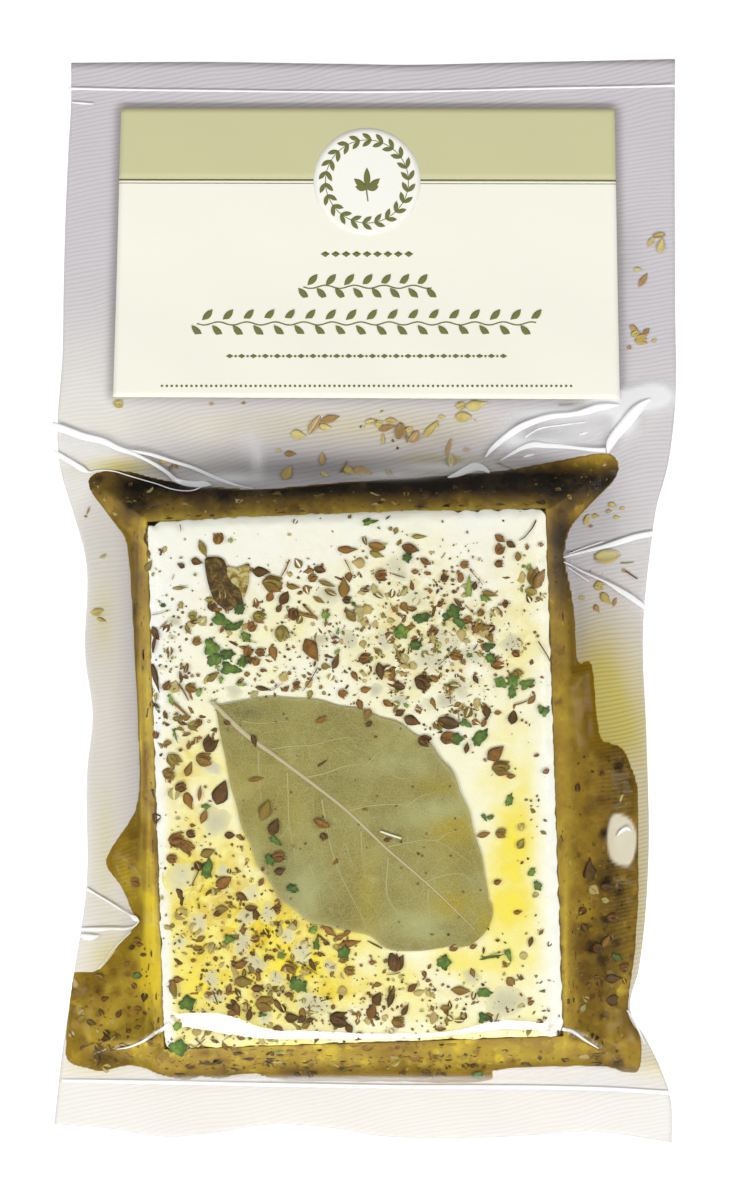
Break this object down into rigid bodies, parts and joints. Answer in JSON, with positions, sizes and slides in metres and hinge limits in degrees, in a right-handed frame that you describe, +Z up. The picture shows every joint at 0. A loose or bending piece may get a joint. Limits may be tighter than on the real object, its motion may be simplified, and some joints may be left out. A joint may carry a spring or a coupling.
{
  "type": "vacuum-packed feta block",
  "caption": "Block of feta in herb oil with a bay leaf, sealed in a clear pouch with a paper label, lying flat.",
  "frame": {"origin": "on the floor, under the middle of the pouch's outline", "axes": "+Z up out of the shown face, +Y along the pouch to its labelled end, +X to the right as the label reads"},
  "size_m": [0.1302, 0.2268, 0.0214],
  "materials": {
    "pouch_film": "gloss",
    "label_paper": "matte",
    "label_print": "matte",
    "back_film": "satin",
    "cheese": "satin",
    "herb_oil": "gloss",
    "bay_leaf": "satin",
    "dried_herbs": "matte",
    "green_herbs": "matte",
    "garlic": "satin"
  },
  "bodies": {
    "root": {"feta_pouch": "pouch_film", "paper_label": "label_paper"}
  },
  "joints": []
}
